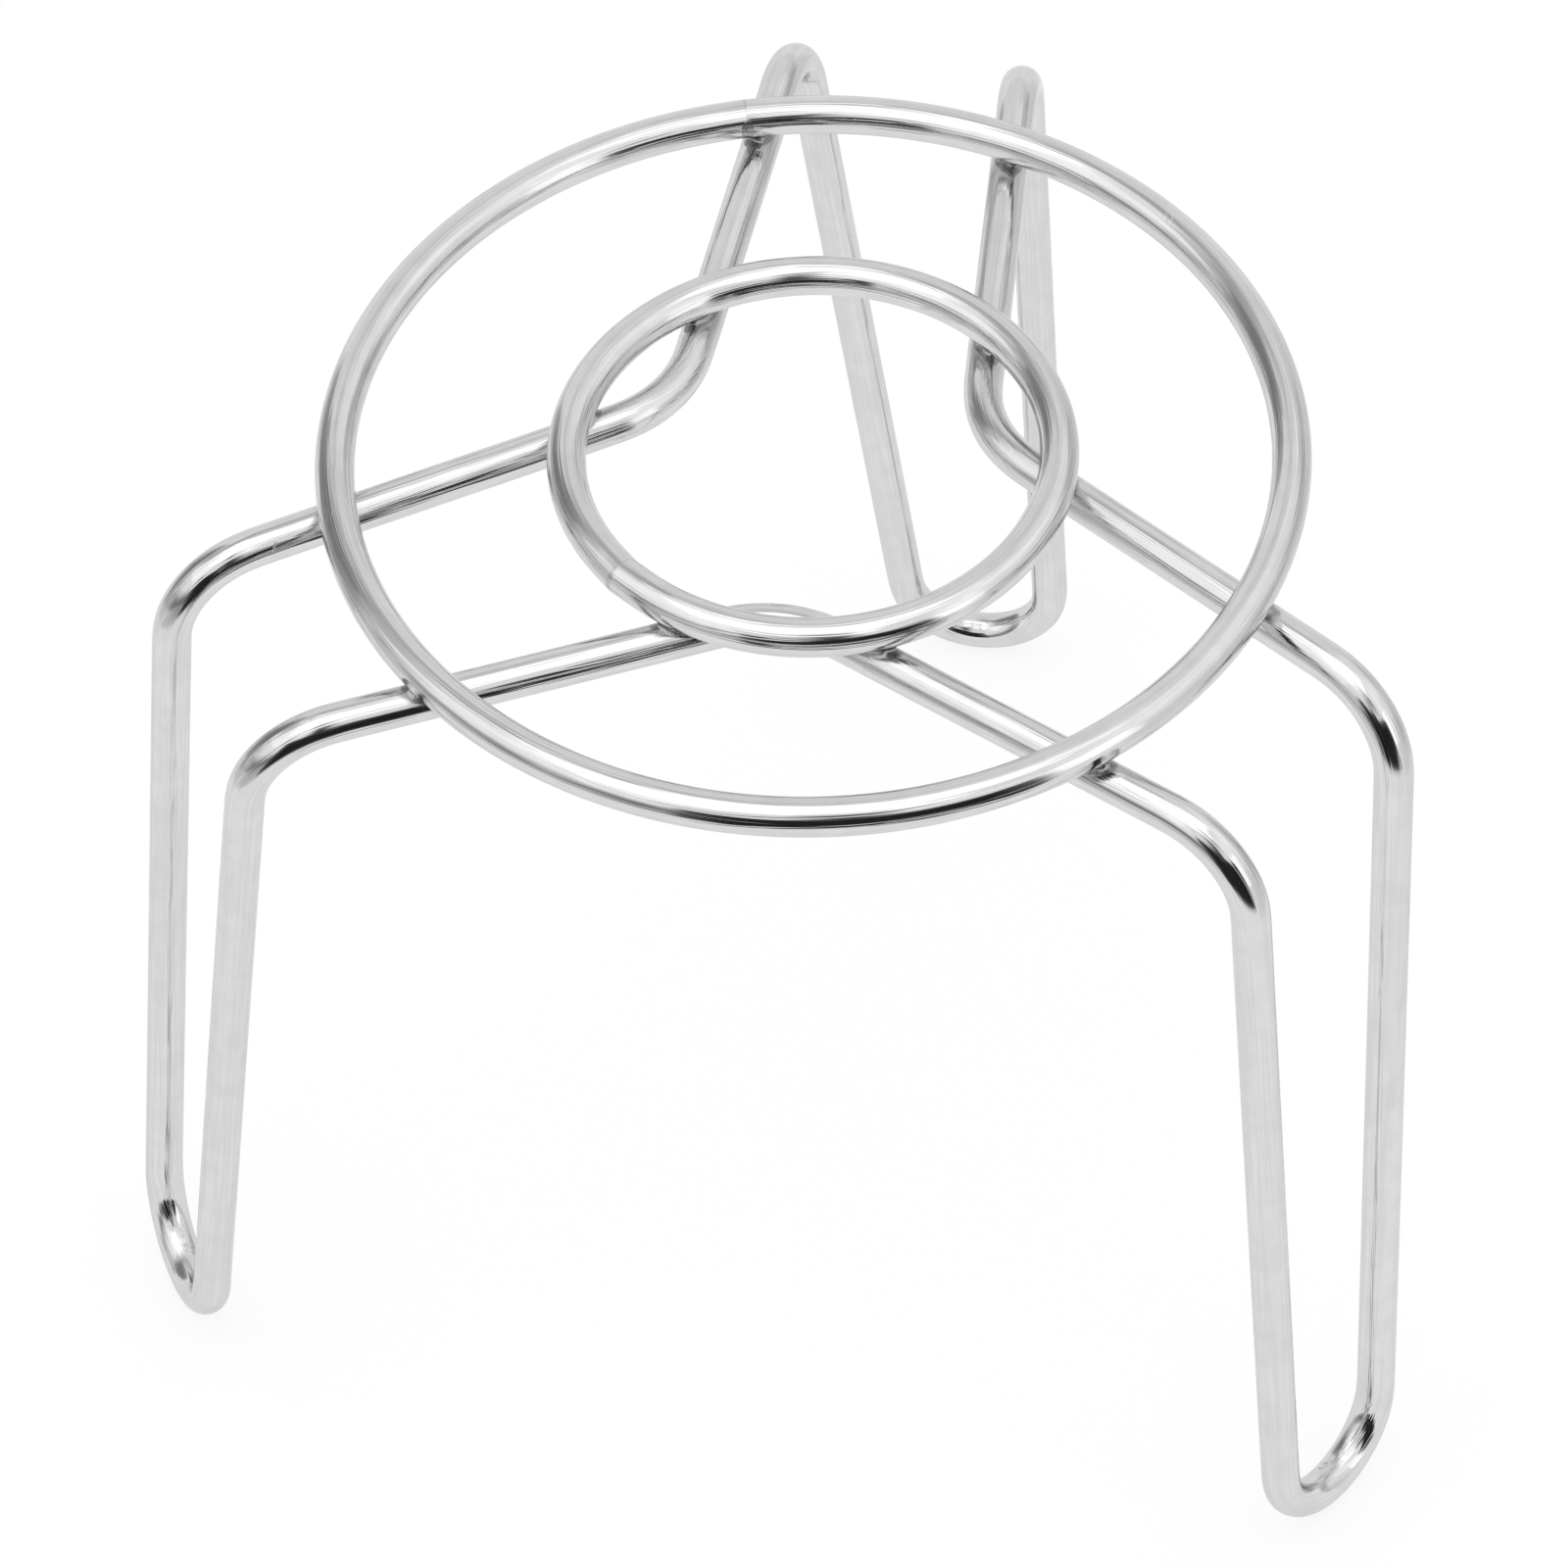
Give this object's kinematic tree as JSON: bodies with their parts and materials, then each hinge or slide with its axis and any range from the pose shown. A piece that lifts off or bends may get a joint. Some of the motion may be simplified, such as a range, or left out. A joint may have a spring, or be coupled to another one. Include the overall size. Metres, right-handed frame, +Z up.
{
  "type": "wire tripod stand",
  "caption": "Round-wire tripod stand with concentric rings on bent hairpin legs, to hold a beaker or pan over a burner.",
  "frame": {"origin": "on the axis of the two rings, on the surface that the feet stand on", "axes": "+Z up along the rings' axis, +Y towards the back leg, +X to the right seen from the front"},
  "size_m": [0.1368, 0.1245, 0.1101],
  "materials": {
    "bright_wire": "bright polished drawn wire",
    "weld_metal": "fused weld metal, dulled by heat"
  },
  "bodies": {
    "root": {"outer_ring": "bright_wire", "inner_ring": "bright_wire", "leg_wire_back": "bright_wire", "leg_wire_left": "bright_wire", "leg_wire_right": "bright_wire", "outer_ring_butt_weld": "weld_metal", "inner_ring_butt_weld": "weld_metal", "leg_butt_weld_back": "weld_metal", "leg_butt_weld_left": "weld_metal", "leg_butt_weld_right": "weld_metal", "outer_ring_weld_back_first": "weld_metal", "outer_ring_weld_back_second": "weld_metal", "outer_ring_weld_left_first": "weld_metal", "outer_ring_weld_left_second": "weld_metal", "outer_ring_weld_right_first": "weld_metal", "outer_ring_weld_right_second": "weld_metal", "inner_ring_weld_back_first": "weld_metal", "inner_ring_weld_back_second": "weld_metal", "inner_ring_weld_left_first": "weld_metal", "inner_ring_weld_left_second": "weld_metal", "inner_ring_weld_right_first": "weld_metal", "inner_ring_weld_right_second": "weld_metal"}
  },
  "joints": []
}
